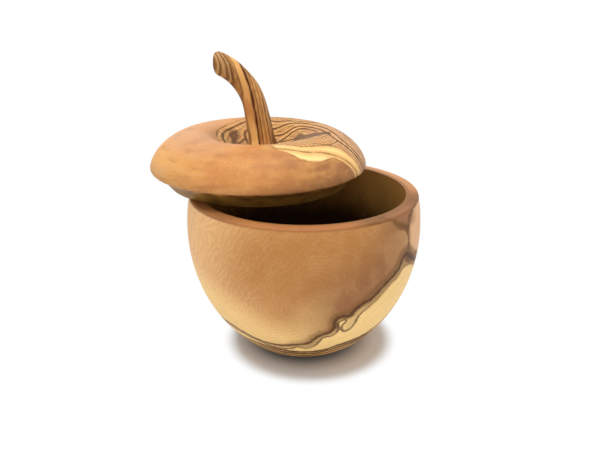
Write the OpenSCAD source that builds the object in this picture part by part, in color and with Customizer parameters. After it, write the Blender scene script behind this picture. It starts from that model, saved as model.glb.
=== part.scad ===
// Apple-shaped turned wooden box: an open bowl, a loose lid that lies across its mouth, and a
// bent stem that is glued into the lid's dimple as its handle.
// Millimetres, +Z up. The origin is the centre of the foot, +X points to the right and +Y away
// from the front.

/* [Bowl] */
// Height of the bowl from the table to the top of its rim
bowl_h = 80.5; // [74:0.5:92]
// Widest diameter of the bowl
belly_d = 113.8; // [100:0.2:130]
// Height of the widest place above the table
belly_z = 62.8; // [52:0.2:70]
// Diameter of the flat foot
foot_d = 43.6; // [32:0.2:60]
// Width of the rim, from the mouth to the outside
rim_w = 5.9; // [4:0.1:8]
// Rounding of the rim's outer edge
rim_round = 1; // [0.4:0.1:2]
// Thickness of the wall at the widest place
wall = 6.9; // [4:0.1:10]
// Thickness of the wood under the hollow
floor_t = 9; // [5:0.5:14]
// Fullness of the hollow's lower part: 2 is an ellipse, more is squarer
hollow_curve = 2.4; // [2:0.1:3.2]

/* [Lid] */
// Height of the lid from the bottom of its plug to its crest
lid_h = 25.1; // [21:0.1:32]
// How far the plug sinks into the mouth when the lid is on
plug_sink = 5.1; // [3:0.1:7]
// How much smaller the plug's radius is at its bottom than at the mouth
plug_taper = 4.2; // [2:0.1:6]
// Gap that is left between the rim and the lid's lower edge when the lid is on
shoulder_gap = 2.6; // [0.5:0.1:4]
// How far the lid's widest place stays inside the rim's outer edge
lid_inset = 1; // [0:0.1:3]
// Size of the rounding under the lid's widest place
edge_round = 1.2; // [0.4:0.1:2]
// Diameter of the ring where the lid is highest
crest_d = 69; // [60:0.5:78]
// Fullness of the lid's shoulder: 2 is an ellipse, less is leaner
dome_curve = 1.62; // [1.4:0.02:2.2]
// Diameter of the dimple around the stem
dimple_d = 52; // [44:0.5:58]
// How far the lid falls from its crest to the edge of the dimple
dimple_lip = 1.2; // [0.5:0.1:2]
// Depth of the dimple below the crest
dimple_depth = 8; // [5:0.1:11]
// Diameter of the flat that the stem stands on
stem_seat_d = 22; // [20:0.5:28]

/* [Lid lying ajar] */
// Shift of the lid to the right of the bowl's axis
ajar_x = -22.6; // [-26:0.1:26]
// Shift of the lid to the back of the bowl's axis
ajar_y = 17.4; // [-20:0.1:20]

/* [Stem] */
// Diameter of the stem above its root
stem_root_d = 13.4; // [11:0.1:15]
// Diameter of the stem at its bend
stem_neck_d = 11; // [8:0.1:13]
// Diameter of the stem at its tip
stem_tip_d = 11; // [8:0.1:14]
// How much the radius grows from above the root to the seat
stem_flare = 1.5; // [0.5:0.1:2.5]
// Height of the flared root
flare_h = 6; // [4:0.5:10]
// Lean of the stem's lower part, in degrees from upright
stem_lean = 10.4; // [0:0.2:18]
// Length of the stem's lower part
stem_straight = 19.3; // [14:0.1:26]
// Radius of the bend
bend_r = 29; // [22:0.5:40]
// How far the stem bends over, in degrees
bend_angle = 62; // [30:1:75]
// Rounding of the stem's cut end
tip_round = 3; // [1:0.1:4]
// How far the cut end leans from square, in degrees
cut_slant = 15; // [-20:1:30]
// Length over which the stem turns into that slant
slant_len = 14; // [8:0.5:20]
// How far the root's middle stands beside the lid's axis
root_shift = 2.4; // [0:0.1:3]
// Diameter of the hole that the stem is glued into
socket_d = 10; // [7:0.1:11]
// Depth of that hole below the seat
socket_depth = 10; // [6:0.5:12]
// Gap for the glue, all round the tenon and under it
glue_gap = 0.15; // [0.05:0.05:0.3]

/* [Hidden] */
$fn = 96;

// Steps along each curved stretch of a turned outline, and of the stem
outline_steps = 26;
round_steps = 5;
stem_steps = 34;
stem_sides = 28;
// First step up the bowl's outside, as a share of an even step: it bends most at the foot
first_step = 0.35;
// Share of the stem's length where it is slimmest
neck_at = 0.7;
// A cut runs this far past the face that it opens
past = 1;

// The bowl's outside is one ellipse, cut flat at the foot and at the rim
belly_r = belly_d / 2;
belly_rise = belly_z / sqrt(1 - pow(foot_d / belly_d, 2));
function bowl_r(z) = belly_r * sqrt(1 - pow((z - belly_z) / belly_rise, 2));
rim_r = bowl_r(bowl_h);
mouth_r = rim_r - rim_w;
hollow_r = belly_r - wall;

// The lid's heights are counted from the bottom of its plug
edge_z = plug_sink + shoulder_gap;
widest_z = edge_z + edge_round;
lid_r = rim_r - lid_inset;
crest_r = crest_d / 2;
dimple_r = dimple_d / 2;
seat_r = stem_seat_d / 2;
seat_z = lid_h - dimple_depth;

// The tenon's end and side stay one glue gap clear of the socket, and it reaches up into the root
tenon_d = socket_d - 2 * glue_gap;
tenon_len = socket_depth - glue_gap;
tenon_root = flare_h / 2;

// The stem's length along its middle line
bend_len = bend_r * bend_angle * PI / 180;
stem_len = stem_straight + bend_len;

function mix(a, b, t) = a + (b - a) * t;
function smooth(t) = let (c = max(0, min(1, t))) c * c * (3 - 2 * c);

// Quarter of a superellipse, from its side (t = 0) to its end (t = 1)
function quarter(a, b, curve, t) = [
    a * pow(max(0, cos(90 * t)), 2 / curve),
    b * pow(max(0, sin(90 * t)), 2 / curve)
];

// Outline of the bowl's outside, from the foot up to the rim's rounding
function bowl_outside() = [
    for (i = [0 : outline_steps])
        let (
            t = i / outline_steps,
            z = (bowl_h - rim_round) * t * mix(first_step, 1, t)
        )
        [bowl_r(z), z]
];

function rim_rounding() = [
    for (i = [1 : round_steps])
        let (a = 90 * i / round_steps)
        [
            bowl_r(bowl_h - rim_round) - rim_round * (1 - cos(a)),
            bowl_h - rim_round * (1 - sin(a))
        ]
];

// The hollow narrows a little from its widest place up to the mouth
function hollow_neck() = [
    for (i = [0 : round_steps])
        let (t = 1 - i / round_steps)
        [mix(hollow_r, mouth_r, 1 - cos(90 * t)), mix(belly_z, bowl_h, t)]
];

function hollow_bottom() = [
    for (i = [1 : outline_steps])
        let (q = quarter(hollow_r, belly_z - floor_t, hollow_curve, i / outline_steps))
        [q[0], belly_z - q[1]]
];

// The plug's underside, its leaning side and the shoulder under the lid's edge
function plug_side() = [
    [0, 0],
    [mouth_r - plug_taper, 0],
    [mouth_r, plug_sink],
    [lid_r - edge_round, edge_z]
];

function edge_rounding() = [
    for (i = [1 : round_steps])
        let (a = 90 * i / round_steps)
        [lid_r - edge_round * (1 - sin(a)), widest_z - edge_round * cos(a)]
];

function dome() = [
    for (i = [1 : outline_steps])
        let (q = quarter(lid_r - crest_r, lid_h - widest_z, dome_curve, i / outline_steps))
        [crest_r + q[0], widest_z + q[1]]
];

function dimple_edge() = [
    for (i = [1 : round_steps])
        let (t = i / round_steps)
        [mix(crest_r, dimple_r, t), lid_h - dimple_lip * t * t]
];

// The dimple's side leaves its edge at the slope that the lip ends with, and flattens at the seat
function dimple_side() = [
    for (i = [1 : outline_steps])
        let (
            t = i / outline_steps,
            run = dimple_r - seat_r,
            slope = 2 * dimple_lip / (crest_r - dimple_r),
            top = lid_h - dimple_lip,
            start_part = t * pow(1 - t, 2)
        )
        [dimple_r - run * t, mix(top, seat_z, smooth(t)) - slope * run * start_part]
];

// Middle line of the stem in the plane of its bend: first straight, then an arc to the left
function heading(s) = stem_lean + max(0, s - stem_straight) / bend_r * 180 / PI;
function middle(s) =
    let (
        low = min(s, stem_straight),
        turned = heading(s)
    )
    [
        root_shift - low * sin(stem_lean) - bend_r * (cos(stem_lean) - cos(turned)),
        0,
        low * cos(stem_lean) + bend_r * (sin(turned) - sin(stem_lean))
    ];

// Radius along the stem: flared root, slimmer bend, and a tip that is a little fuller again
function stem_r(s) =
    let (
        root = stem_root_d / 2,
        neck = stem_neck_d / 2,
        tip = stem_tip_d / 2,
        flared = stem_flare * pow(max(0, 1 - s / flare_h), 2),
        along = s / stem_len
    )
    mix(mix(root, neck, smooth(along / neck_at)), tip, smooth((along - neck_at) / (1 - neck_at)))
        + flared;

// The rounding at the tip takes this much off the radius
function tip_cut(s) =
    let (over = max(0, s - (stem_len - tip_round)))
    tip_round - sqrt(max(0, tip_round * tip_round - over * over));

// The rings lie flat at the seat, stand square to the middle line above the root and lean over
// to the slant of the cut end
function slant(s) = cut_slant * smooth((s - stem_len + slant_len) / slant_len);
function ring_tilt(s) = heading(s) * smooth(s / flare_h) + slant(s);

function ring_s(i) =
    let (
        body_steps = stem_steps - round_steps,
        over = i - body_steps
    )
    over <= 0
        ? (stem_len - tip_round) * i / body_steps
        : stem_len - tip_round + tip_round * sin(90 * over / round_steps);

function ring_point(i, k) =
    let (
        s = ring_s(i),
        tilt = ring_tilt(s),
        turn = 360 * k / stem_sides,
        r = stem_r(s) - tip_cut(s),
        side = r * cos(turn) / cos(slant(s))
    )
    middle(s) + [side * cos(tilt), r * sin(turn), side * sin(tilt)];

// Turns an outline of radius and height points about the upright axis
module turned(outline) {
    rotate_extrude()
        polygon(outline);
}

module stem_body() {
    rings = [for (i = [0 : stem_steps]) for (k = [0 : stem_sides - 1]) ring_point(i, k)];
    last = stem_steps * stem_sides;
    sides = [
        for (i = [0 : stem_steps - 1])
            for (k = [0 : stem_sides - 1])
                let (
                    a = i * stem_sides + k,
                    b = i * stem_sides + (k + 1) % stem_sides
                )
                each [[a, b + stem_sides, b], [a, a + stem_sides, b + stem_sides]]
    ];
    bottom = [[for (k = [0 : stem_sides - 1]) k]];
    top = [[for (k = [stem_sides - 1 : -1 : 0]) last + k]];
    polyhedron(rings, concat(sides, bottom, top));
}

// Moves its children from the lid's own axis and plug bottom to where the lid lies ajar
module on_ajar_lid() {
    translate([ajar_x, ajar_y, bowl_h])
        children();
}

// Open bowl that stands on its flat foot
module bowl() {
    color([0.77, 0.55, 0.35])
        turned(concat(
            [[0, 0]],
            bowl_outside(),
            rim_rounding(),
            hollow_neck(),
            hollow_bottom()
        ));
}

// Solid lid with a tapered plug, a dimpled crown and a blind socket for the stem
module lid() {
    color([0.86, 0.63, 0.42])
        on_ajar_lid()
            difference() {
                turned(concat(
                    plug_side(),
                    edge_rounding(),
                    dome(),
                    dimple_edge(),
                    dimple_side(),
                    [[0, seat_z]]
                ));
                translate([0, 0, seat_z - socket_depth])
                    cylinder(d = socket_d, h = socket_depth + past);
            }
}

// Bent stem with a round tenon, glued into the lid's socket
module stem() {
    color([0.72, 0.49, 0.25])
        on_ajar_lid()
            translate([0, 0, seat_z])
                union() {
                    stem_body();
                    translate([0, 0, -tenon_len])
                        cylinder(d = tenon_d, h = tenon_len + tenon_root);
                }
}

bowl();
lid();
stem();
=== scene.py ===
"""An apple-shaped keeper turned from olive wood: a bowl, a loose lid lying ajar, and a bent stem."""
import math

import bmesh
import bpy
import numpy as np
from bpy.props import FloatProperty, FloatVectorProperty, PointerProperty
from mathutils import Matrix, Vector, noise
from mathutils.geometry import interpolate_bezier


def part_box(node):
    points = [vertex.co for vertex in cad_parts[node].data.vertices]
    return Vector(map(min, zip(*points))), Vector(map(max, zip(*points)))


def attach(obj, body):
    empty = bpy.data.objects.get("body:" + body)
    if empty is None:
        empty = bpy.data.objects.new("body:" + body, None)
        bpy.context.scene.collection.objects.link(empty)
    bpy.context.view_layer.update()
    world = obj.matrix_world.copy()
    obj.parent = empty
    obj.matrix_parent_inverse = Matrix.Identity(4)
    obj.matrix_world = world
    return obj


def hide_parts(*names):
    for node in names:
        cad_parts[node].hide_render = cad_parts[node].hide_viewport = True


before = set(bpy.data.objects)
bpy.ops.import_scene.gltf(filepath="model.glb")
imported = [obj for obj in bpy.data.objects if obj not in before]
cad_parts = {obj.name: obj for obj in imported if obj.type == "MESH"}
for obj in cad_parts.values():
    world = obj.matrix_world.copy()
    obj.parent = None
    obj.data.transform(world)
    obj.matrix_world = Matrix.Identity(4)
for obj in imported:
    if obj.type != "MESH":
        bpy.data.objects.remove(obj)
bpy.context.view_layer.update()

bl_info = {
    "name": "Turned olive keeper",
    "version": (1, 0, 0),
    "blender": (4, 5, 0),
    "location": "View3D > Sidebar > Keeper",
    "description": "Builds a turned wooden keeper with a loose lid, its finish and a studio",
    "category": "Add Mesh",
}

MM = 0.001

# Corners of the turned pieces, which give their axes and overall sizes
BOWL_LOW, BOWL_HIGH = (Vector(corner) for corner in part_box("bowl"))
LID_LOW, LID_HIGH = (Vector(corner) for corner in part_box("lid"))
LID_AXIS = Vector(((LID_LOW.x + LID_HIGH.x) / 2, (LID_LOW.y + LID_HIGH.y) / 2, LID_LOW.z))
BELLY_R = (BOWL_HIGH.x - BOWL_LOW.x) / 2
LID_R = (LID_HIGH.x - LID_LOW.x) / 2

# Figure of the wood on the bowl's outside, read from the photograph where it shows, as
# (bearing in degrees, height in mm). Bearing 0 faces the front and +90 the right. The vein runs all
# the way round, and under it lies pale sapwood.
VEIN = (
    (-180, 38), (-150, 30), (-110, 23), (-70, 22.5), (-50, 24), (-38, 22.5), (-28, 19.5), (-14, 19),
    (-4, 21), (2, 22.5), (7, 27), (13, 29), (15, 32), (15, 37), (18, 38.5), (22, 38), (25, 42),
    (31, 45.5), (37, 50), (43, 54), (47, 56.5), (50, 61), (54, 62), (60, 58.5), (68, 54), (85, 49.5),
    (115, 47), (150, 43), (180, 38),
)
# A second line runs below the vein and makes two hooks into the sapwood
SECOND_LINE = (
    (-180, 34), (-150, 26.5), (-110, 20), (-70, 19.5), (-45, 21), (-34, 19), (-22, 16.5), (-10, 16),
    (-4, 18.5), (2, 17), (7, 20), (10, 25), (15, 26.5), (17.5, 29), (17, 34), (19, 36), (20.5, 35),
    (19, 31), (21, 28.5), (24, 28.5), (26.5, 32), (27, 36), (30, 39), (36, 42.5), (42, 48), (49, 51.5),
    (53, 54.5), (60, 53), (70, 49), (90, 45), (120, 43), (150, 39), (180, 34),
)
# How strongly the wood between those two lines is stained, by bearing
STAIN_DEPTH = (
    (-180, 0.3), (-60, 0.2), (-10, 0.5), (5, 0.7), (12, 0.3), (20, 0.15), (26, 0.4), (32, 0.8),
    (60, 0.9), (80, 0.7), (120, 0.4), (180, 0.3),
)
# Grey-brown patch under the rim, the narrow strip below it and the fork where it meets the vein
RIM_STAIN = (
    (36, 80.5), (42, 79), (46, 75), (52.5, 71), (54, 64), (51, 61.5), (55, 56), (65, 53.5), (69, 57.5),
    (63, 58), (58.5, 60.5), (56, 67), (57, 74), (62, 78), (72, 80.5), (60, 79.5), (55.5, 78), (54.5, 75),
    (48, 77.5), (41, 80.5),
)
# Paler, pinkish heartwood on both sides of that strip, by bearing
BLUSH = ((-180, 0), (36, 0), (47, 0.5), (56, 0.65), (59, 1), (95, 1), (130, 0.2), (180, 0))
# How far the wood over the vein turns pale, by bearing
PALE = ((-180, 0), (-165, 0), (-90, 1), (-10, 1), (16, 0), (180, 0))
# Brown wood between the rim and the patch, and on top of the rim, by bearing. On the left of the rim's
# top the darkening is a painted shadow of the lid.
RIM_SHADE = ((-180, 0), (32, 0), (46, 1), (58, 1), (67, 0), (180, 0))
RIM_BROWN_AND_LID_SHADOW = (
    (-180, 0), (-90, 0), (-75, 0.6), (-40, 0.6), (-25, 0), (20, 0), (32, 1), (76, 1), (90, 0), (180, 0),
)
# Middle of the arcs that the growth layers draw on the front, as x and z
BULLSEYE = (6, 45)
# Three dark growth lines near the foot, with golden wood under the first
FOOT_LINES = (
    ((-180, 14), (-90, 13), (-50, 16), (-20, 14.5), (-10, 13.5), (0, 13), (10, 13.5), (15, 14.5),
     (20, 16.3), (30, 17.7), (40, 19), (50, 22), (70, 28), (100, 26), (140, 18), (180, 14)),
    ((-180, 10.5), (-90, 9.5), (-50, 12), (-15, 11.5), (0, 10.5), (10, 11), (16, 12.5), (28, 15),
     (36, 16), (50, 17.5), (90, 16), (180, 10.5)),
    ((-180, 7), (-60, 7.5), (-20, 8.5), (0, 7.5), (10, 8), (25, 11), (40, 14), (60, 14), (100, 11),
     (180, 7)),
)
# Stripes of the stem: place across the grain from the crack in mm, and which of the wood's colours
STEM_STRIPES = (
    (-14, "band"), (-12.5, "tan"), (-11.5, "dark"), (-10.5, "tan"), (-8.5, "dark"), (-7.5, "tan"),
    (-6.8, "dark"), (-5.5, "brown"), (-4.7, "amber"), (-4, "band"), (-3.5, "gold"), (-1.4, "gold"),
    (-0.7, "amber"), (-0.4, "vein"), (0.3, "vein"), (0.6, "brown"), (1.4, "amber"), (2, "band"),
    (2.6, "gold"), (3.3, "amber"), (4, "brown"), (4.5, "gold"), (5.2, "amber"), (5.9, "dark"),
    (6.4, "tan"), (7, "amber"), (8, "band"),
)
# Height of the brown bar across the golden stripe, above the seat
STEM_BAR = 19 * MM
# The stem's long dark crack, as (height above the seat, place to the right of the lid's axis) in mm
CRACK = ((-20, 1.4), (0, 1), (10, -0.3), (18, -1.4), (28, -2.9), (34, -4.2), (41, -6.2), (50, -11))
# Figure of the lid, also read from the photograph, in plan from the lid's axis in mm, to the right and
# to the back. The grain is upright, so the same plan holds for the dome, the dimple and the plug.
FIGURED = (
    (-20, -3), (-22, 8), (-19, 17), (-13, 26), (-4, 37), (15, 47), (32, 47), (48, 36), (57, 16),
    (58, -10), (53, -25), (46, -27.5), (36, -31), (30, -37), (22, -40), (17, -38.5), (9, -37),
    (3, -30), (-8, -22), (-17, -11),
)
SAP_STRIP = (
    (8.5, -31.5), (12, -31), (21, -31.5), (29, -27.5), (37, -22.5), (44, -21.5), (56, -20), (56, -26),
    (46, -27.5), (36, -31), (30, -37), (22, -40), (17, -38.5), (11.5, -36.5),
)
KNOTS = (
    ((17.5, 4), (21, 7), (26, -2), (37, -4), (30, -12), (21, -17.5), (16.5, -5)),
    ((-16, 14), (-12, 17), (-10.5, 12), (-11, 4), (-14, 2)),
)
BOLD_LINES = (
    ((-18, -9), (-21, -1), (-22, 10), (-18, 19), (-12, 28), (-4, 37), (15, 47), (30, 48), (45, 40)),
    ((-14, -8), (-18.5, 5), (-18, 12), (-12, 21.5), (-6, 28), (2, 29), (8, 26), (15, 25.5), (24, 21.5),
     (36, 14), (56, 0)),
    ((-5, 4), (-7, 11), (-8, 18), (-2, 21), (8, 20), (17, 21.5), (25, 17), (32, 8), (37, -3),
     (43, -12.5), (56, -15)),
    ((-9, -6), (-10.5, 2), (-9.5, 8), (-8, 12)),
    ((-2, 6), (-1, 13), (4, 15.5), (12, 14), (20, 16), (26, 10.5), (31, 2), (37, -13), (45, -16.5),
     (56, -17.6)),
    ((9, 8), (14, 10.5), (18, 12.5), (23, 10.5), (29, 0)),
    ((4, 5), (10, 7.5), (15, 6), (19, 3)),
)
FINE_LINES = (
    ((4, -20), (12, -26), (24, -26.5), (33, -24), (37.5, -18), (39, -13)),
    ((9, -31), (21, -31.5), (29, -27.5), (37, -22.5), (44, -21.5), (56, -20)),
    ((8, -36), (22, -35.5), (30, -32), (41, -27.5), (56, -23)),
    ((6, 33), (17, 33), (30, 26), (41, 15), (49, 0), (56, -11)),
    ((-2, 34), (12, 39.5), (26, 36.5), (40, 26.5), (50, 12), (56, 4)),
    ((10, 29), (22, 28), (33, 19), (41, 7), (47, -6), (56, -13)),
    ((2, 42), (18, 43), (33, 38), (46, 24), (56, 14)),
    ((8, -8), (10, -2), (9, 3)),
    ((12, -16), (18, -20.5), (28, -18.5), (35, -10)),
)
# Middle of the golden stripe, across the grain from the crack in mm
GOLDEN_MIDDLE = -2.2
# A distance in mm that stands for being nowhere near a line
FAR = 99.0
# Depth of the wear on the lid's lower edge, and how far it reaches below and above that edge
EDGE_WEAR = 0.22 * MM
WORN_BELOW, WORN_ABOVE = 1 * MM, 1.6 * MM
# The stem is carved from this height above its seat
CARVED_FROM = 0.5 * MM
# Width and length of the wood's fibres in mm. Real ones are about 0.1 mm wide, too fine to show, so
# they are drawn coarser.
FIBRE, STEM_FIBRE = (0.6, 1.6), (0.5, 3)
# The round shadow that stays on the white floor, and how far its edge fades inward and outward
SHADOW_MIDDLE = Vector((3.5 * MM, -1.5 * MM, 0))
SHADOW_R = 41 * MM
FADE_IN, FADE_OUT = 4.5 * MM, 5 * MM
# The floor's paper at the foot, greyer there as a painted shadow, and away from it, and the radii
# between which it changes
PAPER_PAINTED_SHADOW, PAPER = "a3a09d", "f2f1ef"
PAINTED_SHADOW_FROM, PAINTED_SHADOW_TO = 22 * MM, 37 * MM
FLOOR_SIZE = 3
WHITE = (1, 1, 1, 1)
# Light of the room, and each lamp's name, place, diameter and power
ROOM_LIGHT = 0.66
LAMPS = (("key_lamp", (-0.6, -0.4, 0.8), 0.6, 1.2), ("top_lamp", (0, -0.05, 0.8), 0.4, 3.5))
LAMP_AIM = Vector((0, 0, 0.06))
# The camera's place, its tilt up from straight down, and its lens and sensor in mm
CAMERA_PLACE = (-0.00183, -0.28663, 0.17080)
CAMERA_TILT = math.radians(69.16)
CAMERA_LENS, CAMERA_SENSOR = 37.01, 36


def linear(hex_colour):
    """An sRGB hex colour as the linear colour that the shaders take."""
    parts = [int(hex_colour[i:i + 2], 16) / 255 for i in (0, 2, 4)]
    return tuple(c / 12.92 if c <= 0.04045 else ((c + 0.055) / 1.055) ** 2.4 for c in parts) + (1.0,)


def length(name, description, default):
    """A length that the user may change, in millimetres here and in metres in the scene."""
    return FloatProperty(name=name, description=description, default=default * MM, unit="LENGTH")


def degrees(name, description, default):
    """An angle that the user may change, in degrees here and in radians in the scene."""
    return FloatProperty(
        name=name, description=description, default=math.radians(default), subtype="ANGLE")


def tint(name, description, default):
    """A colour that the user may change."""
    return FloatVectorProperty(
        name=name, description=description, default=linear(default), size=4, min=0, max=1,
        subtype="COLOR")


class BowlSizes(bpy.types.PropertyGroup):
    """Sizes of the bowl."""
    belly_height: length("Belly height", "Height of the widest place above the table", 62.8)
    foot: length("Foot", "Diameter of the flat foot", 43.6)
    rim: length("Rim", "Width of the rim", 5.9)
    wall: length("Wall", "Thickness of the wall at the belly", 6.9)
    floor: length("Floor", "Thickness of the wood under the hollow", 9)
    hollow_curve: FloatProperty(
        name="Hollow curve", description="Fullness of the hollow's lower part", default=2.4, min=2)
    rounding: length("Rounding", "Rounding of the rim's outer edge", 1)
    mouth_easing: length("Mouth easing", "Sanded edge of the mouth", 0.45)
    foot_easing: length("Foot easing", "Sanded edge of the foot", 1.5)


class LidSizes(bpy.types.PropertyGroup):
    """Sizes of the lid."""
    plug_sink: length("Plug sink", "How far the plug sinks into the mouth", 5.1)
    plug_taper: length("Plug taper", "How much smaller the plug's radius is at its bottom", 4.2)
    plug_easing: length("Plug easing", "Sanded edge of the plug's bottom", 0.5)
    shoulder_gap: length("Shoulder gap", "Gap between rim and lid when the lid is on", 2.6)
    edge_round: length("Edge round", "Rounding under the lid's widest place", 1.2)
    crest: length("Crest", "Diameter of the ring where the lid is highest", 69)
    dome_curve: FloatProperty(
        name="Dome curve", description="Fullness of the lid's shoulder", default=1.62, min=1.4)
    dimple: length("Dimple", "Diameter of the dimple", 52)
    dimple_lip: length("Dimple lip", "Fall from the crest to the dimple's edge", 1.2)
    dimple_depth: length("Dimple depth", "Depth of the dimple below the crest", 8)
    seat: length("Seat", "Diameter of the flat that the stem stands on", 22)
    socket: length("Socket", "Diameter of the hole that the stem is glued into", 10)
    socket_depth: length("Socket depth", "Depth of that hole", 10)


class StemSizes(bpy.types.PropertyGroup):
    """Sizes of the stem."""
    root: length("Root", "Diameter above the flared root", 13.4)
    neck: length("Neck", "Diameter in the bend", 11)
    tip: length("Tip", "Diameter at the tip", 11)
    flare: length("Flare", "How much the radius grows at the root", 1.5)
    flare_height: length("Flare height", "Height of the flared root", 6)
    straight: length("Straight", "Length of the lower part", 19.3)
    bend_radius: length("Bend radius", "Radius of the bend", 29)
    tip_round: length("Tip round", "Rounding of the cut end", 3)
    slant_length: length("Slant length", "Length over which the slant grows", 14)
    root_shift: length("Root shift", "Shift of the root beside the lid's axis", 2.4)
    glue_gap: length("Glue gap", "Gap for the glue round the tenon", 0.15)
    carving: length("Carving", "Depth of the unevenness left by the knife", 0.35)
    lean: degrees("Lean", "Lean of the lower part", 10.4)
    bend: degrees("Bend", "How far the stem bends over", 62)
    slant: degrees("Slant", "Lean of the cut end from square", 15)


class WoodColours(bpy.types.PropertyGroup):
    """Colours of the olive wood."""
    heart: tint("Heartwood", "Main colour of the bowl", "c38649")
    heart_pale: tint("Pale heartwood", "Heartwood near the sapwood", "f2bf84")
    heart_dark: tint("Dark heartwood", "Darker heartwood over the vein", "9a6841")
    blush: tint("Pinkish heartwood", "Heartwood beside the strip on the right", "ebb888")
    rim: tint("Rim", "Worn top of the rim", "a86a3c")
    lid: tint("Lid", "Main colour of the lid", "c8854a")
    lid_gold: tint("Golden lid wood", "Golden clouds in the lid's wood", "dfa45e")
    # Pinkish wood, and also a painted highlight where it lies on the crest to the left
    lid_pink_and_highlight: tint("Pink lid wood", "Pinkish wood on the lid's crest", "cc9a74")
    sap: tint("Sapwood", "Pale wood under the vein", "ffd891")
    figured: tint("Figured wood", "Tan wood between the dark lines", "c28c54")
    vein: tint("Vein", "Dark lines of the figure", "502806")
    band: tint("Stain", "Brown wood beside a vein", "855a30")
    grey: tint("Knot", "Grey-brown wood of a knot", "583618")
    mouth: tint("Mouth", "Wood inside the mouth", "c8924a")
    # Painted shade: this dark colour is laid deep in the hollow and under the lid's plug
    hollow: tint("Hollow", "Dark wood deep inside", "3a220c")
    # Painted shade: the plug under the lid is darkened with this colour
    plug: tint("Plug", "Darker wood under the lid", "8a6428")
    gold: tint("Golden wood", "Golden wood of the stem, the foot and the lid's strip", "dfa560")
    tan: tint("Tan wood", "Light stripes of the stem", "cf9f67")
    amber: tint("Amber wood", "Middling stripes of the stem", "b8824a")
    brown: tint("Brown wood", "Brown stripes of the stem", "a5703c")
    dark: tint("Dark wood", "Dark stripes of the stem", "6e431d")


def mix(a, b, t):
    """The value at share t of the way from a to b."""
    return a + (b - a) * t


def stretch(start, end, steps):
    """The points that divide a straight stretch of an outline into steps, without its start."""
    shares = [i / steps for i in range(1, steps + 1)]
    return [(mix(start[0], end[0], t), mix(start[1], end[1], t)) for t in shares]


def smooth(t):
    """A share from 0 to 1 with soft ends."""
    t = min(1.0, max(0.0, t))
    return t * t * (3 - 2 * t)


def eased(corner, before, after, radius, steps=5):
    """The points that round an outline's corner between the points before and after it."""
    corner, before, after = Vector(corner), Vector(before), Vector(after)
    back, ahead = (before - corner).normalized(), (after - corner).normalized()
    half = back.angle(ahead) / 2
    middle = corner + (back + ahead).normalized() * (radius / math.sin(half))
    reach = radius / math.tan(half)
    start, end = corner + back * reach - middle, corner + ahead * reach - middle
    first = math.atan2(start.y, start.x)
    sweep = (math.atan2(end.y, end.x) - first + math.pi) % (2 * math.pi) - math.pi
    turns = [first + sweep * i / steps for i in range(steps + 1)]
    return [(middle.x + radius * math.cos(a), middle.y + radius * math.sin(a)) for a in turns]


def superellipse(a, b, curve, t):
    """A point of a superellipse's quarter, from its side at t = 0 to its end at t = 1."""
    angle = math.pi / 2 * t
    return a * max(0, math.cos(angle)) ** (2 / curve), b * math.sin(angle) ** (2 / curve)


def bowl_radius(z, sizes):
    """Outer radius of the bowl at height z: an ellipse cut off at the foot."""
    rise = sizes.belly_height / math.sqrt(1 - (sizes.foot / 2 / BELLY_R) ** 2)
    return BELLY_R * math.sqrt(1 - ((z - sizes.belly_height) / rise) ** 2)


def bowl_outline(sizes):
    """The bowl's outline from the middle of the foot, up the outside and down the hollow."""
    high = BOWL_HIGH.z
    top = high - sizes.rounding
    side_steps, round_steps, neck_steps, hollow_steps, flat_steps = 110, 6, 20, 70, 8
    # The steps start small, where the side rises flattest
    start = 0.35
    heights = [top * i / side_steps * mix(start, 1, i / side_steps) for i in range(side_steps + 1)]
    outside = [(bowl_radius(z, sizes), z) for z in heights]
    rim = []
    for i in range(1, round_steps + 1):
        turn = math.pi / 2 * i / round_steps
        inward, up = sizes.rounding * (1 - math.cos(turn)), sizes.rounding * math.sin(turn)
        rim.append((outside[-1][0] - inward, top + up))
    mouth = bowl_radius(high, sizes) - sizes.rim
    hollow = BELLY_R - sizes.wall
    neck = []
    for i in range(neck_steps + 1):
        t = 1 - i / neck_steps
        r = mix(hollow, mouth, 1 - math.cos(math.pi / 2 * t))
        neck.append((r, mix(sizes.belly_height, high, t)))
    bottom = []
    for i in range(1, hollow_steps):
        r, fall = superellipse(
            hollow, sizes.belly_height - sizes.floor, sizes.hollow_curve, i / hollow_steps)
        bottom.append((r, sizes.belly_height - fall))
    # The foot's sanded edge takes the place of the side's lowest points
    taken = 3
    foot_edge = eased(outside[0], (0, 0), outside[taken + 1], sizes.foot_easing)
    mouth_edge = eased(neck[0], rim[-1], neck[1], sizes.mouth_easing)
    underside = [(0, 0)] + stretch((0, 0), (sizes.foot / 2, 0), flat_steps)[:-1]
    rim_top = stretch(rim[-1], mouth_edge[0], flat_steps)[:-1]
    return (
        underside + foot_edge + outside[taken:] + rim + rim_top + mouth_edge + neck[1:] + bottom
        + [(0, sizes.floor)])


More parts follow.
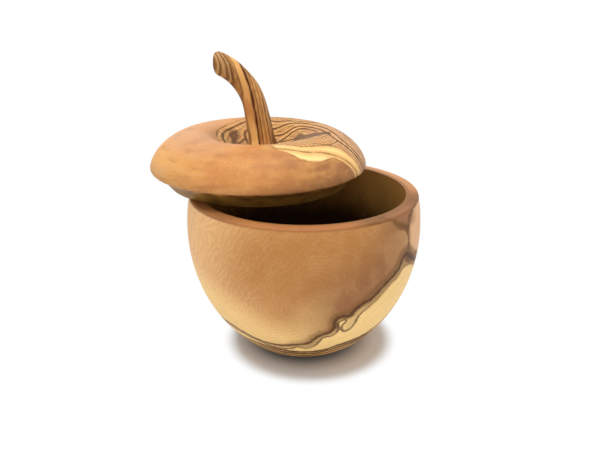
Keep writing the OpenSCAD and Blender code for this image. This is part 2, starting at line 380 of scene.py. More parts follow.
def lid_outline(sizes, mouth):
    """The lid's outline from the middle of the plug's underside up to the socket's bottom."""
    base, high = LID_LOW.z, LID_HIGH.z
    edge_z = base + sizes.plug_sink + sizes.shoulder_gap
    widest_z = edge_z + sizes.edge_round
    crest, dimple, seat, socket = (
        size / 2 for size in (sizes.crest, sizes.dimple, sizes.seat, sizes.socket))
    seat_z = high - sizes.dimple_depth
    line = (mouth, base + sizes.plug_sink)
    edge = (LID_R - sizes.edge_round, edge_z)
    plug_edge = eased((mouth - sizes.plug_taper, base), (0, base), line, sizes.plug_easing)
    flat_steps, flank_steps, shoulder_steps, seat_steps = 8, 7, 5, 6
    round_steps, dome_steps, lip_steps, side_steps = 8, 60, 12, 30
    underside = [(0, base)] + stretch((0, base), plug_edge[0], flat_steps)[:-1]
    flank = stretch(plug_edge[-1], line, flank_steps)
    shoulder = stretch(line, edge, shoulder_steps)
    rounding = []
    for i in range(1, round_steps + 1):
        turn = math.pi / 2 * i / round_steps
        inward, up = sizes.edge_round * (1 - math.sin(turn)), sizes.edge_round * math.cos(turn)
        rounding.append((LID_R - inward, widest_z - up))
    dome = []
    for i in range(1, dome_steps + 1):
        r, rise = superellipse(LID_R - crest, high - widest_z, sizes.dome_curve, i / dome_steps)
        dome.append((crest + r, widest_z + rise))
    lip = []
    for i in range(1, lip_steps + 1):
        t = i / lip_steps
        lip.append((mix(crest, dimple, t), high - sizes.dimple_lip * t ** 2))
    # The dimple's side leaves the lip at the lip's own slope
    run = dimple - seat
    slope = 2 * sizes.dimple_lip / (crest - dimple)
    side = []
    for i in range(1, side_steps + 1):
        t = i / side_steps
        fall = slope * run * t * (1 - t) ** 2
        side.append((dimple - run * t, mix(high - sizes.dimple_lip, seat_z, smooth(t)) - fall))
    flat = stretch((seat, seat_z), (socket, seat_z), seat_steps)
    hole = [(socket, seat_z - sizes.socket_depth), (0, seat_z - sizes.socket_depth)]
    return underside + plug_edge + flank + shoulder + rounding + dome + lip + side + flat + hole


def finished(name, bm):
    """Turns the bmesh into a smooth-shaded object at the origin."""
    same_place = 0.001 * MM
    bmesh.ops.remove_doubles(bm, verts=bm.verts, dist=same_place)
    bmesh.ops.recalc_face_normals(bm, faces=bm.faces)
    mesh = bpy.data.meshes.new(name)
    bm.to_mesh(mesh)
    bm.free()
    mesh.shade_smooth()
    piece = bpy.data.objects.new(name, mesh)
    bpy.context.scene.collection.objects.link(piece)
    return piece


def turned(name, outline, axis, wedges=12, steps=30):
    """A solid turned from the outline about the upright line through axis: one wedge is spun, and
    the others are its copies, which takes far less time than one full spin."""
    bm = bmesh.new()
    verts = [bm.verts.new((axis[0] + r, axis[1], z)) for r, z in outline]
    edges = [bm.edges.new(pair) for pair in zip(verts, verts[1:])]
    about = {"cent": (axis[0], axis[1], 0), "axis": (0, 0, 1), "dvec": (0, 0, 0)}
    wedge = 2 * math.pi / wedges
    bmesh.ops.spin(bm, geom=verts + edges, angle=wedge, steps=steps, **about)
    bmesh.ops.spin(
        bm, geom=bm.verts[:] + bm.edges[:] + bm.faces[:], angle=wedge * (wedges - 1),
        steps=wedges - 1, use_duplicate=True, **about)
    return finished(name, bm)


def stem_section(s, sizes, whole):
    """The matrix that takes a unit circle to the stem's section at length s from the seat."""
    low = min(s, sizes.straight)
    heading = sizes.lean + max(0, s - sizes.straight) / sizes.bend_radius
    middle = Vector((
        sizes.root_shift - low * math.sin(sizes.lean)
        - sizes.bend_radius * (math.cos(sizes.lean) - math.cos(heading)),
        0,
        low * math.cos(sizes.lean)
        + sizes.bend_radius * (math.sin(heading) - math.sin(sizes.lean))))
    along, neck_at = s / whole, 0.7
    body = mix(sizes.root / 2, sizes.neck / 2, smooth(along / neck_at))
    body = mix(body, sizes.tip / 2, smooth((along - neck_at) / (1 - neck_at)))
    over = min(sizes.tip_round, max(0, s - whole + sizes.tip_round))
    cut = sizes.tip_round - math.sqrt(sizes.tip_round ** 2 - over ** 2)
    r = body + sizes.flare * max(0, 1 - s / sizes.flare_height) ** 2 - cut
    slant = sizes.slant * smooth((s - whole + sizes.slant_length) / sizes.slant_length)
    tilt = heading * smooth(s / sizes.flare_height) + slant
    return (
        Matrix.Translation(middle) @ Matrix.Rotation(-tilt, 4, "Y")
        @ Matrix.Diagonal((r / math.cos(slant), r, 1, 1)))


def carved_stem(name, sizes, lid_sizes):
    """The stem and its tenon: one ring of edges, extruded along the bend."""
    whole = sizes.straight + sizes.bend_radius * sizes.bend
    seat = Matrix.Translation((LID_AXIS.x, LID_AXIS.y, LID_HIGH.z - lid_sizes.dimple_depth))
    tenon_r = lid_sizes.socket / 2 - sizes.glue_gap
    tenon_low = sizes.glue_gap - lid_sizes.socket_depth
    chamfer = 0.5 * MM
    sections = [
        Matrix.Translation((0, 0, z)) @ Matrix.Diagonal((r, r, 1, 1))
        for z, r in ((tenon_low, tenon_r - chamfer), (tenon_low + chamfer, tenon_r), (0, tenon_r))]
    body_rings, tip_rings, sides, end_rings = 110, 14, 128, (0.75, 0.5, 0.25)
    body = whole - sizes.tip_round
    sections += [stem_section(body * i / body_rings, sizes, whole) for i in range(body_rings + 1)]
    for i in range(1, tip_rings + 1):
        rise = sizes.tip_round * math.sin(math.pi / 2 * i / tip_rings)
        sections.append(stem_section(body + rise, sizes, whole))
    end = sections[-1]
    sections += [end @ Matrix.Diagonal((share, share, 1, 1)) for share in end_rings]
    bm = bmesh.new()
    bmesh.ops.create_circle(bm, cap_ends=True, radius=1, segments=sides)
    edges, verts, last = bm.edges[:], bm.verts[:], Matrix.Identity(4)
    for number, section in enumerate(sections):
        if number:
            grown = bmesh.ops.extrude_edge_only(bm, edges=edges)["geom"]
            verts = [part for part in grown if isinstance(part, bmesh.types.BMVert)]
            edges = [part for part in grown if isinstance(part, bmesh.types.BMEdge)]
        placed = seat @ section
        bmesh.ops.transform(bm, matrix=placed @ last.inverted(), verts=verts)
        last = placed
    rim = set(verts)
    bmesh.ops.contextual_create(bm, geom=[edge for edge in edges if rim.issuperset(edge.verts)])
    return finished(name, bm)


def places(piece):
    """The piece's vertices in metres."""
    flat = np.empty(len(piece.data.vertices) * 3)
    piece.data.vertices.foreach_get("co", flat)
    return flat.reshape(-1, 3)


def store(piece, name, values):
    """Keeps one number for each vertex, for the piece's material to read."""
    layer = piece.data.attributes.new(name, "FLOAT", "POINT")
    layer.data.foreach_set("value", np.asarray(values, dtype=np.float32))


def flowing(points, closed=False, steps=5):
    """A smooth way through the points, as a Catmull-Rom curve."""
    points = [Vector((*point, 0)) for point in points]
    if closed:
        points = points[-1:] + points + points[:2]
    else:
        points = points[:1] + points + points[-1:]
    way = []
    for before, start, end, after in zip(points, points[1:], points[2:], points[3:]):
        leave, arrive = start + (end - before) / 6, end - (after - start) / 6
        way += interpolate_bezier(start, leave, arrive, end, steps + 1)[:-1]
    if not closed:
        way.append(points[-1])
    return [tuple(point.xy) for point in way]


def surface_way(points, radius_at):
    """Points (bearing, height) on a turned surface as places in mm."""
    bearings, heights = (np.array(values) for values in zip(*points))
    turns, radii = np.radians(bearings), np.array([radius_at(z) for z in heights])
    return np.stack((radii * np.sin(turns), -radii * np.cos(turns), heights), axis=1)


def nearest(way, spots):
    """Distance from each spot to the way, in as many dimensions as they have."""
    best = np.full(len(spots), np.inf)
    smallest = 1e-9
    for a, b in zip(way, way[1:]):
        along = b - a
        share = np.clip((spots - a) @ along / max(along @ along, smallest), 0, 1)
        best = np.minimum(best, ((spots - a - share[:, None] * along) ** 2).sum(axis=1))
    return np.sqrt(best)


def inside(points, across, up):
    """Whether each (across, up) lies inside the closed outline."""
    within = np.zeros(len(across), dtype=bool)
    for (b0, z0), (b1, z1) in zip(points, points[1:] + points[:1]):
        if z0 != z1:
            crossing = (up < z0) != (up < z1)
            within ^= crossing & (across < (b1 - b0) * (up - z0) / (z1 - z0) + b0)
    return within


def by_bearing(bearing, points):
    """A value that follows the bearing through the given points."""
    return np.interp(bearing, *zip(*points))


def mark_bowl(piece, sizes):
    """Stores how far each place on the bowl lies from the lines of its figure, in mm."""
    spots = places(piece) / MM
    bearing, height = np.degrees(np.arctan2(spots[:, 0], -spots[:, 1])), spots[:, 2]

    def radius_at(z):
        return bowl_radius(min(max(z, 0) * MM, BOWL_HIGH.z), sizes) / MM

    # 1 on the outside and foot, falling to 0 across the rim, so no figure reaches the hollow
    depth = np.array([radius_at(z) for z in height]) - np.hypot(spots[:, 0], spots[:, 1])
    foot_z, hollow_from, across_rim = 1, 5, 4
    skin = np.where(height < foot_z, 1, np.clip((hollow_from - depth) / across_rim, 0, 1))
    shown = skin > 0
    # Closes a line's region under the foot
    below_foot = [(180, -20), (-180, -20)]
    vein, second, rim_stain = flowing(VEIN), flowing(SECOND_LINE), flowing(RIM_STAIN, closed=True)
    stored = {}
    for name, line, region in (
            ("vein", vein, vein + below_foot),
            ("second", second, second + below_foot),
            ("rim_stain", rim_stain + rim_stain[:1], rim_stain)):
        gap = np.full(len(spots), FAR)
        gap[shown] = nearest(surface_way(line, radius_at), spots[shown])
        stored[name] = np.where(inside(region, bearing, height), gap, -gap)
        store(piece, name, stored[name])
    under = stored["vein"] > 0
    # How far over the vein the wood is pale, in mm: further to the left, and fading out
    least, more, left_from, left_span, fade = 21, 0.25, -10, 50, 14
    reach = least + more * np.clip(left_from - bearing, 0, left_span)
    pale = np.clip((reach + stored["vein"]) / fade, 0, 1) * by_bearing(bearing, PALE)
    store(piece, "pale", skin * np.where(under, 1, pale))
    store(piece, "blush", skin * by_bearing(bearing, BLUSH))
    store(piece, "rim_shade", skin * by_bearing(bearing, RIM_SHADE))
    store(piece, "rim_brown", by_bearing(bearing, RIM_BROWN_AND_LID_SHADOW))
    store(piece, "stain_depth", skin * by_bearing(bearing, STAIN_DEPTH))
    gaps = [height - by_bearing(bearing, flowing(line)) for line in FOOT_LINES]
    store(piece, "over_foot_lines", gaps[0])
    store(piece, "foot_lines", np.min(np.abs(gaps), axis=0))
    store(piece, "skin", skin)
    store(piece, "below_rim", BOWL_HIGH.z / MM - height)


def mark_lid(piece, edge_z):
    """Stores how far each place on the lid lies from the lines of its figure in plan, in mm."""
    spots = places(piece)
    store(piece, "below_edge", (edge_z - spots[:, 2]) / MM)
    plan = (spots[:, :2] - np.array(LID_AXIS[:2])) / MM
    store(piece, "from_axis", np.hypot(plan[:, 0], plan[:, 1]))
    for name, regions in (("figured", (FIGURED,)), ("sap_strip", (SAP_STRIP,)), ("knots", KNOTS)):
        best = np.full(len(plan), -FAR)
        for region in regions:
            region = flowing(region, closed=True)
            gap = nearest(np.array(region + region[:1]), plan)
            best = np.maximum(best, np.where(inside(region, plan[:, 0], plan[:, 1]), gap, -gap))
        store(piece, name, best)
    for name, lines in (("bold", BOLD_LINES), ("fine", FINE_LINES)):
        gaps = [nearest(np.array(flowing(line)), plan) for line in lines]
        store(piece, name, np.min(gaps, axis=0))


def mark_stem(piece, seat_z):
    """Stores how far each place on the stem lies across the grain from its long crack, in mm."""
    spots = (places(piece) - np.array((LID_AXIS.x, LID_AXIS.y, seat_z))) / MM
    # The layers run a little aslant through the stem, turning about a line near its front
    layers_turn, layers_front = 0.35, -5
    aslant = layers_turn * (spots[:, 1] - layers_front)
    across = spots[:, 0] - np.interp(spots[:, 2], *zip(*CRACK)) + aslant
    # Beyond the golden stripe the stripes draw together towards the tip
    golden_edge, fan, even_at = -4, 0.04, 38
    spread = 1 + fan * (spots[:, 2] - even_at)
    across = np.where(across < golden_edge, golden_edge + (across - golden_edge) * spread, across)
    store(piece, "across", across)


def wear_edge(piece, low, high, amount):
    """Chips and dents an edge: moves the vertices between two heights inward by uneven amounts."""
    chip, dent = 2.5 * MM, 9 * MM
    for vert in piece.data.vertices:
        share = smooth((vert.co.z - low) / MM) * smooth((high - vert.co.z) / MM)
        if share > 0:
            uneven = max(0, noise.noise(vert.co / chip)) + max(0, noise.noise(vert.co / dent))
            inward = Vector((LID_AXIS.x - vert.co.x, LID_AXIS.y - vert.co.y, 0)).normalized()
            vert.co += inward * (amount * share * uneven)


def carve(piece, depth, above):
    """Leaves the knife's shallow unevenness on the stem, always inward."""
    cut_width, cut_length = 5 * MM, 16 * MM
    normals = [vert.normal.copy() for vert in piece.data.vertices]
    for vert, normal in zip(piece.data.vertices, normals):
        if vert.co.z > above:
            x, y, z = vert.co
            drawn = Vector((x / cut_width, y / cut_width, z / cut_length))
            vert.co -= normal * depth * (0.5 + 0.5 * noise.noise(drawn))


def add(tree, kind, *values, inputs=None, out=None, **settings):
    """Adds a node, applies its settings, sets or links its inputs in order or by name, and
    returns an output: the first one, or the one asked for."""
    made = tree.nodes.new("ShaderNode" + kind)
    for name, value in settings.items():
        setattr(made, name, value)
    open_sockets = [socket for socket in made.inputs if socket.enabled]
    named = [(made.inputs[name], value) for name, value in (inputs or {}).items()]
    for socket, value in [*zip(open_sockets, values), *named]:
        if isinstance(value, bpy.types.NodeSocket):
            tree.links.new(value, socket)
        elif value is not None:
            socket.default_value = value
    return made.outputs[out] if out else next((found for found in made.outputs if found.enabled), None)


def ramp(tree, value, *ends):
    """A share that goes softly from 0 to 1 while the value goes from one end to the other, or between
    the two other shares that are given after the ends."""
    return add(tree, "MapRange", value, *ends, interpolation_type="SMOOTHSTEP")


def marks(tree, *names):
    """The numbers that were stored for a piece under these names."""
    return {name: add(tree, "Attribute", out="Fac", attribute_name=name) for name in names}


def grain(tree, across, along, detail=3.0, seed=0.0):
    """Noise drawn out along the upright grain, from 0 to 1, with its sizes in mm."""
    coords = add(tree, "TexCoord", out="Object")
    drawn = add(tree, "Mapping", coords, (seed, seed, seed), (0, 0, 0),
                (1 / (across * MM), 1 / (across * MM), 1 / (along * MM)))
    scale, finer_share = 1.0, 0.55
    return add(tree, "TexNoise", drawn, scale, detail, finer_share)


def stroke(tree, distance, at, width, soft):
    """1 on a line of that width where distance equals at, fading over soft, all in mm."""
    beside = add(tree, "Math", distance, at, operation="SUBTRACT")
    gap = add(tree, "Math", beside, operation="ABSOLUTE")
    return ramp(tree, gap, width / 2, width / 2 + soft, 1.0, 0.0)


def shifted(tree, value, noise_value, amount):
    """The value, moved up and down by a noise, at most by about half the amount."""
    centred = add(tree, "Math", noise_value, 0.5, operation="SUBTRACT")
    return add(tree, "Math", centred, amount, value, operation="MULTIPLY_ADD")


def warped(tree, distance, *wobbles):
    """The distance, shifted by noises given as (size across, size along, amount) in mm."""
    detail, seed_step = 2.0, 3.7
    for number, (across, along, amount) in enumerate(wobbles):
        wobble = grain(tree, across, along, detail, seed_step * number)
        distance = shifted(tree, distance, wobble, amount * 2)
    return distance


def times(tree, *shares):
    """The product of several shares."""
    product = shares[0]
    for share in shares[1:]:
        product = add(tree, "Math", product, share, operation="MULTIPLY")
    return product


def laid(tree, under, *layers):
    """Lays colours over each other, each given as (colour, share, share, ...). A share is where the
    colour lies, a number for how strongly it covers, or what ramp needs after the tree."""
    for colour, *shares in layers:
        shares = [ramp(tree, *share) if isinstance(share, tuple) else share for share in shares]
        under = add(tree, "Mix", times(tree, *shares), under, colour, data_type="RGBA")
    return under


def growth_rings(tree, distance, spacing):
    """Growth rings at that spacing in mm, from 0 to 1."""
    turn = add(tree, "Math", distance, 2 * math.pi / spacing, operation="MULTIPLY")
    wave = add(tree, "Math", turn, operation="SINE")
    return add(tree, "Math", wave, 0.5, 0.5, operation="MULTIPLY_ADD")


def new_material(name):
    """An empty material and its node tree."""
    material = bpy.data.materials.new(name)
    material.use_nodes = True
    material.node_tree.nodes.clear()
    return material, material.node_tree


def oiled(tree, colour, fibre):
    """Finishes a wood's colour with fine fibres, a satin sheen and its relief. The oil has soaked in,
    so the surface has a low sheen and no bright highlights."""
    darkest, lightest, smoothest, roughest = 0.92, 1.07, 0.44, 0.56
    shade = ramp(tree, fibre, 0.25, 0.75, darkest, lightest)
    colour = add(tree, "Mix", 1.0, colour, shade, data_type="RGBA", blend_type="MULTIPLY")
    relief = add(tree, "Bump", inputs={"Strength": 0.35, "Distance": 0.1 * MM, "Height": fibre})
    rough = ramp(tree, fibre, 0.3, 0.7, smoothest, roughest)
    shader = add(tree, "BsdfPrincipled", inputs={
        "Base Color": colour, "Roughness": rough, "IOR": 1.5, "Specular IOR Level": 0.15,
        "Normal": relief})
    add(tree, "OutputMaterial", shader)


def bowl_wood(colours):
    """Olive wood, turned, sanded and oiled: warm heartwood over pale sapwood, a dark vein between.
    Turning across the growth layers shows them as arcs and jagged lines on a smooth surface."""
    material, tree = new_material("oiled_olive_wood_bowl")
    coords = add(tree, "TexCoord", out="Object")
    read = marks(
        tree, "vein", "second", "over_foot_lines", "foot_lines", "rim_stain", "pale", "blush",
        "rim_shade", "rim_brown", "stain_depth", "skin", "below_rim")
    skin, pale, below_rim = read["skin"], read["pale"], read["below_rim"]
    cloud = grain(tree, 22, 30, 3.0, 1.3)
    mottle = grain(tree, 7, 9, 4.0, 2.6)
    fibre = grain(tree, *FIBRE)
    jagged = ((7, 7, 0.6), (2.5, 2.5, 0.9), (0.9, 0.9, 0.4))
    vein = warped(tree, read["vein"], *jagged)
    second = warped(tree, read["second"], *jagged)
    foot_lines = warped(tree, read["foot_lines"], (3, 3, 0.5), (1, 1, 0.3))
    rim_stain = warped(tree, read["rim_stain"], *jagged)
    # Growth layers that bulge towards the front show as wide arcs round a middle, in mm from it
    middle = -BULLSEYE[0], 0, -BULLSEYE[1]
    spread = add(tree, "Mapping", coords, middle, (0, 0, 0), (1 / MM, 0, 1 / MM))
    arcs = add(tree, "VectorMath", spread, out="Value", operation="LENGTH")
    arcs = shifted(tree, shifted(tree, arcs, cloud, 22), mottle, 2.5)
    parts = add(tree, "SeparateXYZ", coords).node.outputs
    x = shifted(tree, parts["X"], cloud, 24 * MM)
    low = ramp(tree, parts["Z"], 62 * MM, 30 * MM)
    on_right = ramp(tree, x, -22 * MM, 18 * MM)
    on_left = ramp(tree, x, 2 * MM, -26 * MM)
    under_vein = ramp(tree, vein, -0.2, 0.3)
    over_second = ramp(tree, second, 0.3, -0.2)
    stained = read["stain_depth"]
    core = ramp(tree, stained, 0.5, 0.9, 0.1, 1.4)
    second_share = ramp(tree, stained, 0.5, 0.9, 0.8, 0.25)
    at_foot = ramp(tree, read["over_foot_lines"], 0.2, -0.6)
    on_top = ramp(tree, below_rim, 1.6, 0.5)
    at_back = ramp(tree, parts["Y"], -10 * MM, 30 * MM)
    inner = add(tree, "Math", 1.0, skin, operation="SUBTRACT")
    # Heartwood, paler to the left and low on the left, partly paler wood and partly painted light, and
    # darker over the vein, with growth layers about 2 mm apart
    colour = laid(
        tree, colours.heart,
        # Paler to the left: partly paler wood, partly painted light from the left
        (colours.heart_pale, (x, -20 * MM, -56 * MM)),
        (colours.heart_pale, (arcs, 30, 62), 0.6),
        (colours.heart_dark, (read["vein"], -34, -4), on_right, 0.9),
        # Paler low on the left: partly paler wood, partly painted light bounced from the floor
        (colours.heart_pale, low, on_left, 0.75),
        (colours.heart_dark, growth_rings(tree, arcs, 1.9), mottle, 0.35),
        (colours.heart_pale, (mottle, 0.35, 0.8, 0, 0.16)),
        (colours.heart_pale, read["blush"], 0.45),
        (colours.blush, (read["blush"], 0.6, 1.0)))
    # Sapwood under the vein, and the stained wood between the two lines
    colour = laid(
        tree, colour,
        (colours.sap, pale, 0.85),
        (colours.heart, growth_rings(tree, vein, 2.3), pale, mottle, 0.45),
        (colours.sap, under_vein, skin),
        (colours.heart, growth_rings(tree, second, 4.5), under_vein, 0.08),
        (colours.gold, at_foot, skin, 0.6),
        (colours.band, under_vein, over_second, stained, 0.85))
    # The worn top of the rim, brown wood on its right and the lid's painted shadow on its left, and the
    # brown wood under it
    colour = laid(
        tree, colour,
        (colours.rim, on_top, 0.85),
        (colours.blush, on_top, at_back, 0.3),
        # Brown wood on the right, painted shadow of the lid on the left
        (colours.band, on_top, read["rim_brown"], 0.8),
        (colours.grey, on_top, read["rim_brown"], 0.3),
        (colours.band, on_top, (skin, 0.4, 0.1), 0.7),
        (colours.heart_dark, (below_rim, 9, 5), read["rim_shade"], 0.85))
    # The patch under the rim, the dark lines, and painted shade on the foot's lowest edge above the
    # floor
    colour = laid(
        tree, colour,
        (colours.band, (rim_stain, -0.4, 0.5), skin, 0.95),
        (colours.vein, (rim_stain, 0.3, 2.2), skin, 0.5),
        (colours.band, stroke(tree, vein, 0.5, 1.0, 1.5), skin, 0.5),
        (colours.band, stroke(tree, vein, -0.5, 2.4, 2.6), skin, on_right, 0.75),
        (colours.vein, stroke(tree, vein, core, 0.7, 1.2), skin, 0.8),
        (colours.vein, stroke(tree, second, 0.0, 0.5, 0.7), skin, second_share),
        (colours.vein, stroke(tree, foot_lines, 0.0, 1.1, 0.9), skin, 0.95),
        # Painted shade: the lowest few mm of the foot darken towards the floor
        (colours.vein, (below_rim, 75, 78.5), 0.8))
    # The hollow, with painted shade that grows darker the deeper it goes
    colour = laid(
        tree, colour,
        (colours.mouth, inner, (below_rim, 0.4, 1.6)),
        (colours.hollow, (shifted(tree, below_rim, mottle, 10), 8, 32), inner))
    oiled(tree, colour, fibre)
    return material


def lid_wood(colours):
    """Olive wood, turned and oiled: figured wood with dark rings on top, plain wood round it, and a
    plug underneath, darkened with painted shade."""
    material, tree = new_material("oiled_olive_wood_lid")
    coords = add(tree, "TexCoord", out="Object")
    parts = add(tree, "SeparateXYZ", coords).node.outputs
    read = marks(tree, "figured", "sap_strip", "knots", "bold", "fine", "below_edge", "from_axis")
    cloud = grain(tree, 16, 16, 3.0, 5.1)
    mottle = grain(tree, 8, 6, 4.0, 2.6)
    fibre = grain(tree, *FIBRE)
    jagged = ((3, 3, 0.4), (1, 1, 0.25))
    figured = warped(tree, read["figured"], *jagged)
    sap = warped(tree, read["sap_strip"], *jagged)
    knots = warped(tree, read["knots"], (4, 4, 2.0), (1, 1, 0.9))
    bold = warped(tree, read["bold"], (5, 5, 0.5), (1.2, 1.2, 0.3))
    fine = warped(tree, read["fine"], (5, 5, 0.4), (1.2, 1.2, 0.25))
    edge = warped(tree, read["below_edge"], (3, 2, 0.7), (1, 0.8, 0.4))
    x = shifted(tree, parts["X"], cloud, 44 * MM)
    within = ramp(tree, figured, -0.2, 0.3)
    crest = ramp(tree, parts["Z"], LID_HIGH.z - 7 * MM, LID_HIGH.z - 1 * MM)
    left = ramp(tree, x, -20 * MM, -60 * MM)
    rings = ramp(tree, growth_rings(tree, bold, 2.1), 0.6, 0.98)
    pale_rings = ramp(tree, growth_rings(tree, fine, 2.6), 0.55, 1.0)
    streaks = grain(tree, 14, 2.5, 3.0, 9.1)
    in_strip = ramp(tree, sap, -0.3, 0.5)
    # Plain wood of the dome: golden on the left, browner to the right, with soft streaks, a pink painted
    # highlight on the crest to the left, and painted shade on the dimple's wall
    colour = laid(
        tree, colours.lid,
        (colours.lid_gold, (x, -36 * MM, -72 * MM)),
        (colours.heart_dark, (x, -26 * MM, 16 * MM), 0.85),
        (colours.lid_gold, (mottle, 0.4, 0.8), 0.6),
        (colours.heart_dark, (read["below_edge"], -8, -1), 0.3),
        # Painted highlight: pink on the crest, to the left
        (colours.lid_pink_and_highlight, crest, left, 0.7),
        (colours.lid_pink_and_highlight, (streaks, 0.52, 0.7, 0.0, 0.45), left),
        (colours.lid_gold, (streaks, 0.5, 0.7, 0.0, 0.3)),
        (colours.heart_dark, (streaks, 0.5, 0.3, 0.0, 0.3)),
        # Painted shade on the dimple's wall
        (colours.heart_dark, (read["from_axis"], 29, 21), 0.4))
    # Figured wood, with growth layers 2 to 3 mm apart, the pale strip, the knots and the dark lines
    colour = laid(
        tree, colour,
        (colours.figured, within),
        (colours.lid_gold, within, (cloud, 0.4, 0.65), 0.7),
        (colours.lid_pink_and_highlight, within, (parts["X"], 0, 20 * MM), 0.5),
        (colours.sap, within, pale_rings, (mottle, 0.6, 0.35, 0.1, 0.45)),
        (colours.vein, within, rings, (cloud, 0.4, 0.6, 0.3, 0.7)),
        (colours.sap, in_strip),
        (colours.gold, (fine, 0.6, 3.5, 0.75, 0.0), in_strip),
        (colours.grey, (knots, -0.5, 1.4), 0.85),
        (colours.vein, (fine, 0.15, 0.7, 0.6, 0.0), within),
        (colours.vein, (bold, 0.2, 0.9, 0.85, 0.0), within))
    # The plug, darkened with painted shade that is deepest in mottled patches, the dark line along its
    # edge, and light chips beside that line that are a painted highlight
    colour = laid(
        tree, colour,
        (colours.plug, (edge, -0.2, 0.3), 0.9),
        (colours.hollow, (edge, 0.0, 0.8), (mottle, 0.55, 0.3, 0.0, 0.5)),
        (colours.vein, stroke(tree, edge, -0.1, 0.4, 0.4), 0.75),
        (colours.gold, stroke(tree, edge, 0.7, 0.4, 0.5), (mottle, 0.48, 0.6), 0.7))
    oiled(tree, colour, fibre)
    return material


def stem_wood(colours, seat_z):
    """Olive wood, carved by hand and oiled: golden and brown stripes along a long dark crack. The
    fibres run up the stem, so its growth layers show as long lines."""
    material, tree = new_material("oiled_olive_wood_stem")
    fibre = grain(tree, *STEM_FIBRE)
    stored = marks(tree, "across")["across"]
    across = warped(tree, stored, (6, 40, 0.9), (1.5, 25, 0.5), (0.6, 4, 0.15))
    low, high = STEM_STRIPES[0][0], STEM_STRIPES[-1][0]
    stripes = add(tree, "ValToRGB", add(tree, "MapRange", across, low, high))
    elements = stripes.node.color_ramp.elements
    elements.remove(elements[1])
    for number, (at, colour) in enumerate(STEM_STRIPES):
        place = (at - low) / (high - low)
        stop = elements[0] if number == 0 else elements.new(place)
        stop.position, stop.color = place, getattr(colours, colour)
    streaks = grain(tree, 1.0, 14, 2.0, 7.7)
    rings = ramp(tree, growth_rings(tree, across, 1.35), 0.6, 0.95)
    faded = ramp(tree, grain(tree, 2.5, 16, 2.0, 4.4), 0.4, 0.62, 0.1, 0.8)
    on_gold = stroke(tree, across, GOLDEN_MIDDLE, 2.2, 0.6)
    off_gold = add(tree, "Math", 1.0, on_gold, operation="SUBTRACT")
    coords = add(tree, "TexCoord", out="Object")
    height = add(tree, "SeparateXYZ", coords).node.outputs["Z"]
    bar = stroke(tree, shifted(tree, height, streaks, 8 * MM), seat_z + STEM_BAR, 4 * MM, 4 * MM)
    colour = laid(
        tree, stripes,
        (colours.gold, (streaks, 0.44, 0.3, 0, 0.5)),
        # Painted light: the golden stripe is lighter low down, where the dimple shades it
        (colours.sap, stroke(tree, across, GOLDEN_MIDDLE, 2.4, 1.0),
         (height, seat_z + 15 * MM, seat_z + 8 * MM), 0.45),
        (colours.lid, bar, stroke(tree, across, GOLDEN_MIDDLE, 2.6, 1.0), 0.8),
        (colours.vein, rings, faded, off_gold, 0.5),
        # Painted shade: dark at the root of the stem on the right, where it meets the dimple
        (colours.vein, (height, seat_z + 8 * MM, seat_z + 2 * MM),
         stroke(tree, across, 7.0, 2.4, 1.5), 0.6),
        (colours.vein, (streaks, 0.6, 0.72, 0, 0.6), off_gold))
    oiled(tree, colour, fibre)
    return material


class KEEPER_OT_bowl(bpy.types.Operator):
    """Turn the open bowl"""
    bl_idname = "keeper.bowl"
    bl_label = "Turned bowl"

    def execute(self, context):
        sizes = context.scene.keeper_bowl
        piece = turned("turned_bowl", bowl_outline(sizes), (0, 0))
        mark_bowl(piece, sizes)
        piece.data.materials.append(bowl_wood(context.scene.keeper_colours))
        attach(piece, "bowl")
        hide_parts("bowl")
        return {"FINISHED"}


class KEEPER_OT_lid(bpy.types.Operator):
    """Turn the loose lid"""
    bl_idname = "keeper.lid"
    bl_label = "Turned lid"

    def execute(self, context):
        sizes, bowl_sizes = context.scene.keeper_lid, context.scene.keeper_bowl
        mouth = bowl_radius(BOWL_HIGH.z, bowl_sizes) - bowl_sizes.rim
        piece = turned("turned_lid", lid_outline(sizes, mouth), LID_AXIS)
        edge = LID_LOW.z + sizes.plug_sink + sizes.shoulder_gap
        mark_lid(piece, edge)
        wear_edge(piece, edge - WORN_BELOW, edge + WORN_ABOVE, EDGE_WEAR)
        piece.data.materials.append(lid_wood(context.scene.keeper_colours))
        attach(piece, "lid")
        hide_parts("lid")
        return {"FINISHED"}


class KEEPER_OT_stem(bpy.types.Operator):
    """Carve the bent stem"""
    bl_idname = "keeper.stem"
    bl_label = "Carved stem"

    def execute(self, context):
        sizes, lid_sizes = context.scene.keeper_stem, context.scene.keeper_lid
        piece = carved_stem("carved_stem", sizes, lid_sizes)
        seat_z = LID_HIGH.z - lid_sizes.dimple_depth
        mark_stem(piece, seat_z)
        carve(piece, sizes.carving, seat_z + CARVED_FROM)
        piece.data.materials.append(stem_wood(context.scene.keeper_colours, seat_z))
        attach(piece, "lid")
        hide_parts("stem")
        return {"FINISHED"}


def plain_ray(tree):
    """1 for what the camera sees, also in a reflection or through glass, and 0 for other light."""
    camera_ray = add(tree, "LightPath", out="Is Camera Ray")
    rays = camera_ray.node.outputs
    mirrored = add(tree, "Math", camera_ray, rays["Is Glossy Ray"], operation="MAXIMUM")
    return add(tree, "Math", mirrored, rays["Is Transmission Ray"], operation="MAXIMUM")


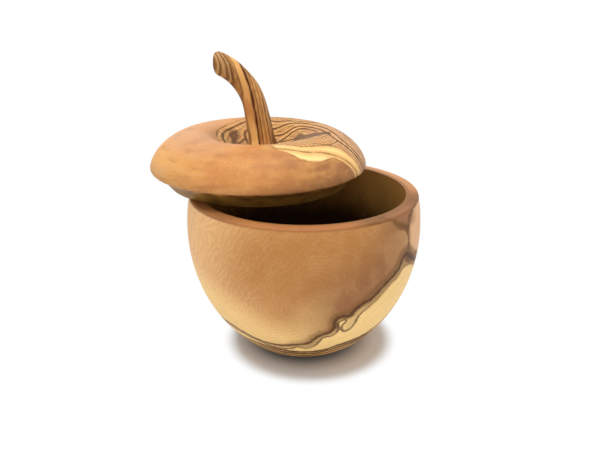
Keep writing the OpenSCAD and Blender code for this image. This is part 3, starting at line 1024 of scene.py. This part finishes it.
def white_floor():
    """Matt white paper without any sheen: keeps the small shadow under the keeper and is pure white
    round it. Near the foot the paper is greyer, a painted shadow that deepens the rendered one."""
    material, tree = new_material("matt_white_paper")
    coords = add(tree, "TexCoord", out="Object")
    away = add(tree, "VectorMath", coords, SHADOW_MIDDLE, out="Value", operation="DISTANCE")
    # Painted shadow: the paper turns greyer close to the foot
    from_foot = add(tree, "VectorMath", coords, out="Value", operation="LENGTH")
    from_foot = add(tree, "MapRange", from_foot, PAINTED_SHADOW_FROM, PAINTED_SHADOW_TO)
    shade = add(tree, "Mix", from_foot, linear(PAPER_PAINTED_SHADOW), linear(PAPER), data_type="RGBA")
    paper = add(tree, "BsdfDiffuse", shade)
    glow = add(tree, "Emission", WHITE, 1.0)
    clear = ramp(tree, away, SHADOW_R - FADE_IN, SHADOW_R + FADE_OUT)
    share = times(tree, plain_ray(tree), clear)
    add(tree, "OutputMaterial", add(tree, "MixShader", share, paper, glow))
    return material


class KEEPER_OT_stage(bpy.types.Operator):
    """Lay the white floor, hang the lamps and set the camera"""
    bl_idname = "keeper.stage"
    bl_label = "Studio"

    def execute(self, context):
        bm = bmesh.new()
        bmesh.ops.create_grid(bm, x_segments=1, y_segments=1, size=FLOOR_SIZE)
        floor = finished("studio_floor", bm)
        floor.data.materials.append(white_floor())

        world = bpy.data.worlds.new("white_studio")
        world.use_nodes = True
        tree = world.node_tree
        tree.nodes.clear()
        strength = add(tree, "MapRange", plain_ray(tree), 0.0, 1.0, ROOM_LIGHT, 1.0)
        add(tree, "OutputWorld", add(tree, "Background", WHITE, strength))
        context.scene.world = world

        for name, place, size, power in LAMPS:
            lamp = bpy.data.lights.new(name, "AREA")
            lamp.shape = "DISK"
            lamp.size = size
            lamp.energy = power
            holder = bpy.data.objects.new(name, lamp)
            holder.location = place
            aim = LAMP_AIM - Vector(place)
            holder.rotation_euler = aim.to_track_quat("-Z", "Y").to_euler()
            context.scene.collection.objects.link(holder)

        camera = bpy.data.cameras.new("camera")
        camera.sensor_fit = "HORIZONTAL"
        camera.sensor_width = CAMERA_SENSOR
        camera.lens = CAMERA_LENS
        camera.clip_start = 0.01
        holder = bpy.data.objects.new("camera", camera)
        holder.location = CAMERA_PLACE
        holder.rotation_euler = (CAMERA_TILT, 0, 0)
        context.scene.collection.objects.link(holder)
        context.scene.camera = holder
        context.scene.view_settings.view_transform = "Standard"
        return {"FINISHED"}


class KEEPER_PT_keeper(bpy.types.Panel):
    """Lists the keeper's pieces with their sizes and colours"""
    bl_label = "Turned keeper"
    bl_idname = "KEEPER_PT_keeper"
    bl_space_type = "VIEW_3D"
    bl_region_type = "UI"
    bl_category = "Keeper"

    def draw(self, context):
        for operator, group in STEPS:
            box = self.layout.box()
            box.operator(operator)
            if group:
                for name in getattr(context.scene, group).__annotations__:
                    box.prop(getattr(context.scene, group), name)
        for name in WoodColours.__annotations__:
            self.layout.prop(context.scene.keeper_colours, name)


GROUPS = {
    "keeper_bowl": BowlSizes,
    "keeper_lid": LidSizes,
    "keeper_stem": StemSizes,
    "keeper_colours": WoodColours,
}
STEPS = (
    ("keeper.bowl", "keeper_bowl"),
    ("keeper.lid", "keeper_lid"),
    ("keeper.stem", "keeper_stem"),
    ("keeper.stage", None),
)
CLASSES = (
    *GROUPS.values(), KEEPER_OT_bowl, KEEPER_OT_lid, KEEPER_OT_stem, KEEPER_OT_stage, KEEPER_PT_keeper)


def register():
    """Adds the operators, the panel and the settings."""
    for cls in CLASSES:
        bpy.utils.register_class(cls)
    for name, group in GROUPS.items():
        setattr(bpy.types.Scene, name, PointerProperty(type=group))


def unregister():
    """Takes them away again."""
    for name in GROUPS:
        delattr(bpy.types.Scene, name)
    for cls in reversed(CLASSES):
        bpy.utils.unregister_class(cls)


def main():
    """Builds the keeper and its studio."""
    register()
    bpy.ops.keeper.bowl()
    bpy.ops.keeper.lid()
    bpy.ops.keeper.stem()
    bpy.ops.keeper.stage()


if __name__ == "__main__":
    main()
